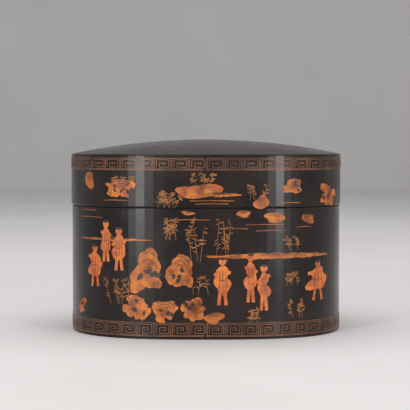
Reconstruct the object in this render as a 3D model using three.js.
// An oval lacquer box with a domed lid that lifts off, made of bent wood hoops and shaped boards.
// Millimetres, +Z up. The origin is the middle of the foot, on the surface that the box stands on.
// +X runs along the length of the oval and -Y is the front.
import * as THREE from "three";

// Driving dimensions of the oval
const BODY_LENGTH = 258.4; // outside length of the body
const BODY_DEPTH = 224.4; // outside depth of the body, front to back
const SQUARENESS = 2.7; // exponent of the oval, where 2 is an ellipse and more is squarer

// Driving dimensions of the body
const BODY_HEIGHT = 119.4; // height of the outer hoop, foot to seam
const WALL = 5; // thickness of the outer hoop
const LINING = 4; // thickness of both inner hoops
const LIP_RISE = 14; // how far the inner hoop stands above the seam to hold the lid
const BASE_THICKNESS = 6; // thickness of the board that closes the bottom
const FOOT_HEIGHT = 4.7; // height of the low hoop that carries the board
const FOOT_WIDTH = 7; // thickness of that hoop

// Driving dimensions of the lid
const LID_SIDE = 48.6; // height of the lid's side, seam to rim
const LID_OVERHANG = 0.8; // how far the lid's side stands proud of the body
const DOME_RISE = 13.3; // rise of the top above the rim
const RIM_THICKNESS = 4; // thickness of the top board at its edge
const SPIGOT_DEPTH = 3; // how far the top board reaches down inside the lid's hoop
const SPIGOT_WIDTH = 6; // width of the flat ring under the top board
const HOLLOW_RISE = 11; // rise of the hollow carved in the underside of the top board

// Fits between the pieces
const GLUE_GAP = 0.3; // ground and glue between pieces that are fixed together
const SEAM_GAP = 0.3; // gap between the lid and the body where the lid rests
const LIP_CLEARANCE = 0.6; // running clearance between the lip and the lid's hoop, each side
const LIP_HEADROOM = 0.6; // clearance above the lip when the lid is down

// Soft edges left by the coats of lacquer
const EDGE_ROUND = 1.2; // edges that are handled
const RIM_ROUND = 1.6; // the edge of the domed top
const FOOT_ROUND = 0.8; // edges at the foot

// How finely the curves are cut
const TURN_STEPS = 96; // steps round the oval
const DOME_STEPS = 7; // rings from the rim of the dome to its middle
const ROUND_STEPS = 2; // steps round a soft edge

// The oval is a superellipse with these half axes
const HALF_LENGTH = BODY_LENGTH / 2;
const HALF_DEPTH = BODY_DEPTH / 2;

// Insets are measured inwards from the outside of the body's wall
const LIP_OUTSIDE = WALL + GLUE_GAP;
const LIP_INSIDE = LIP_OUTSIDE + LINING;
const LID_INSIDE = LIP_OUTSIDE - LIP_CLEARANCE;
const LID_LINING_OUTSIDE = LID_INSIDE + GLUE_GAP;
const LID_LINING_INSIDE = LID_LINING_OUTSIDE + LINING;

// Heights, from the foot up
const BOARD_BOTTOM = FOOT_HEIGHT + GLUE_GAP;
const BOARD_TOP = BOARD_BOTTOM + BASE_THICKNESS;
const LIP_BOTTOM = BOARD_TOP + GLUE_GAP;
const LIP_TOP = BODY_HEIGHT + LIP_RISE;
const LID_BOTTOM = BODY_HEIGHT + SEAM_GAP;
const RIM_HEIGHT = LID_BOTTOM + LID_SIDE;
const FLANGE_BOTTOM = RIM_HEIGHT - RIM_THICKNESS;
const SPIGOT_BOTTOM = FLANGE_BOTTOM - SPIGOT_DEPTH;

const signedPower = (value, power) => Math.sign(value) * Math.abs(value) ** power;

// Where the outline lies for a turn from the front, at an inset square to the body's wall.
function ovalPoint(angle, inset) {
  const outX = signedPower(Math.sin(angle), 2 / SQUARENESS);
  const outY = -signedPower(Math.cos(angle), 2 / SQUARENESS);
  const normalX = signedPower(outX, SQUARENESS - 1) / HALF_LENGTH;
  const normalY = signedPower(outY, SQUARENESS - 1) / HALF_DEPTH;
  const size = Math.hypot(normalX, normalY);
  const x = HALF_LENGTH * outX - (inset * normalX) / size;
  const y = HALF_DEPTH * outY - (inset * normalY) / size;
  return [x, y];
}

// A profile of { share, inset, z } points turned round the oval as a lathe turns one round a circle.
// A share of 1 is on the outline of that inset, and a share of 0 is on the upright axis.
function turnRoundOval(profile) {
  const guide = profile.map(({ share, z }) => new THREE.Vector2(share, z));
  const geometry = new THREE.LatheGeometry(guide, TURN_STEPS);
  const position = geometry.getAttribute("position");
  for (let step = 0; step <= TURN_STEPS; step++) {
    const angle = ((step % TURN_STEPS) / TURN_STEPS) * 2 * Math.PI;
    profile.forEach(({ share, inset, z }, row) => {
      const [x, y] = ovalPoint(angle, inset);
      position.setXYZ(step * profile.length + row, share * x, share * y, z);
    });
  }
  geometry.computeVertexNormals();
  return geometry;
}

// The points of one corner: the corner itself, or a soft edge where it has a radius.
function cornerPoints(before, corner, after) {
  const [at, from, to] = [corner, before, after].map(([inset, z]) => new THREE.Vector2(inset, z));
  const room = Math.min(at.distanceTo(from), at.distanceTo(to)) / 2;
  const radius = Math.min(corner[2] ?? 0, room);
  if (radius === 0) return [at];
  const start = at.clone().add(from.sub(at).setLength(radius));
  const end = at.clone().add(to.sub(at).setLength(radius));
  return new THREE.QuadraticBezierCurve(start, at, end).getPoints(ROUND_STEPS);
}

// A hoop with the section given by four corners [inset, z, radius], from the outer foot upwards.
function hoopGeometry(corners) {
  const section = corners.flatMap((corner, i) => {
    const before = corners.at(i - 1);
    const after = corners[(i + 1) % corners.length];
    return cornerPoints(before, corner, after);
  });
  const profile = section.map(({ x, y }) => ({ share: 1, inset: x, z: y }));
  return turnRoundOval([...profile, profile[0]]);
}

function hoop(outside, inside, bottom, top, rounds) {
  const [outerFoot, outerTop, innerTop, innerFoot] = rounds;
  return hoopGeometry([
    [outside, bottom, outerFoot],
    [outside, top, outerTop],
    [inside, top, innerTop],
    [inside, bottom, innerFoot],
  ]);
}

// A flat oval board with softened edges, with its outside at the given inset.
function boardGeometry(inset, bottom, top) {
  const rim = [
    [inset + BODY_DEPTH / 4, bottom],
    [inset, bottom, FOOT_ROUND],
    [inset, top, FOOT_ROUND],
    [inset + BODY_DEPTH / 4, top],
  ];
  const edge = [1, 2].flatMap((i) => cornerPoints(rim[i - 1], rim[i], rim[i + 1]));
  return turnRoundOval([
    { share: 0, inset, z: bottom },
    ...edge.map(({ x, y }) => ({ share: 1, inset: x, z: y })),
    { share: 0, inset, z: top },
  ]);
}

// The height of a shallow dome over the share of the way out from its middle.
const domeHeight = (foot, rise, share) => foot + rise * (1 - share ** 2);

// The domed top: a flange over the lid's hoop, a spigot inside it and a hollow carved underneath.
function domeGeometry() {
  const shares = Array.from({ length: DOME_STEPS }, (_, i) => i / DOME_STEPS);
  const hollowInset = LID_LINING_OUTSIDE + SPIGOT_WIDTH;
  const hollow = shares.map((share) => ({
    share,
    inset: hollowInset,
    z: domeHeight(SPIGOT_BOTTOM, HOLLOW_RISE, share),
  }));
  const skin = shares
    .map((share) => ({
      share,
      inset: RIM_ROUND - LID_OVERHANG,
      z: domeHeight(RIM_HEIGHT, DOME_RISE, share),
    }))
    .reverse();
  const outer = -LID_OVERHANG;
  const rim = cornerPoints(
    [outer, FLANGE_BOTTOM],
    [outer, RIM_HEIGHT, RIM_ROUND],
    [outer + 2 * RIM_ROUND, RIM_HEIGHT],
  );
  const flange = [
    [hollowInset, SPIGOT_BOTTOM],
    [LID_LINING_OUTSIDE, SPIGOT_BOTTOM],
    [LID_LINING_OUTSIDE, FLANGE_BOTTOM],
    [outer, FLANGE_BOTTOM],
  ].map(([inset, z]) => ({ share: 1, inset, z }));
  const edge = rim.map(({ x, y }) => ({ share: 1, inset: x, z: y }));
  return turnRoundOval([...hollow, ...flange, ...edge, ...skin]);
}

// Finishes
const blackLacquer = { color: 0x1d1613, roughness: 0.22, metalness: 0 };
const brownLacquer = { color: 0x2c130d, roughness: 0.35, metalness: 0 };
const bareGround = { color: 0x33261d, roughness: 0.6, metalness: 0 };

function piece(name, geometry, finish) {
  const mesh = new THREE.Mesh(geometry, new THREE.MeshStandardMaterial(finish));
  mesh.name = name;
  return mesh;
}

function buildBody() {
  const body = new THREE.Group();
  const wall = hoop(0, WALL, 0, BODY_HEIGHT, [FOOT_ROUND, EDGE_ROUND, 0, 0]);
  const footOutside = WALL + GLUE_GAP;
  const foot = hoop(footOutside, footOutside + FOOT_WIDTH, 0, FOOT_HEIGHT, [0, 0, 0, FOOT_ROUND]);
  const board = boardGeometry(WALL + GLUE_GAP, BOARD_BOTTOM, BOARD_TOP);
  const lip = hoop(LIP_OUTSIDE, LIP_INSIDE, LIP_BOTTOM, LIP_TOP, [0, EDGE_ROUND, EDGE_ROUND, 0]);
  body.add(
    piece("wall_hoop", wall, blackLacquer),
    piece("foot_hoop", foot, bareGround),
    piece("base_board", board, brownLacquer),
    piece("lip_hoop", lip, brownLacquer),
  );
  return body;
}

function buildLid() {
  const lid = new THREE.Group();
  const hoopTop = FLANGE_BOTTOM - GLUE_GAP;
  const side = hoop(-LID_OVERHANG, LID_INSIDE, LID_BOTTOM, hoopTop, [EDGE_ROUND, 0, 0, EDGE_ROUND]);
  const lining = hoop(
    LID_LINING_OUTSIDE,
    LID_LINING_INSIDE,
    LIP_TOP + LIP_HEADROOM,
    SPIGOT_BOTTOM - GLUE_GAP,
    [EDGE_ROUND, 0, 0, EDGE_ROUND],
  );
  lid.add(
    piece("lid_hoop", side, blackLacquer),
    piece("lid_lining_hoop", lining, brownLacquer),
    piece("lid_top", domeGeometry(), blackLacquer),
  );
  return lid;
}

const lacquerBox = new THREE.Group();
lacquerBox.add(buildBody(), buildLid());

export default lacquerBox;
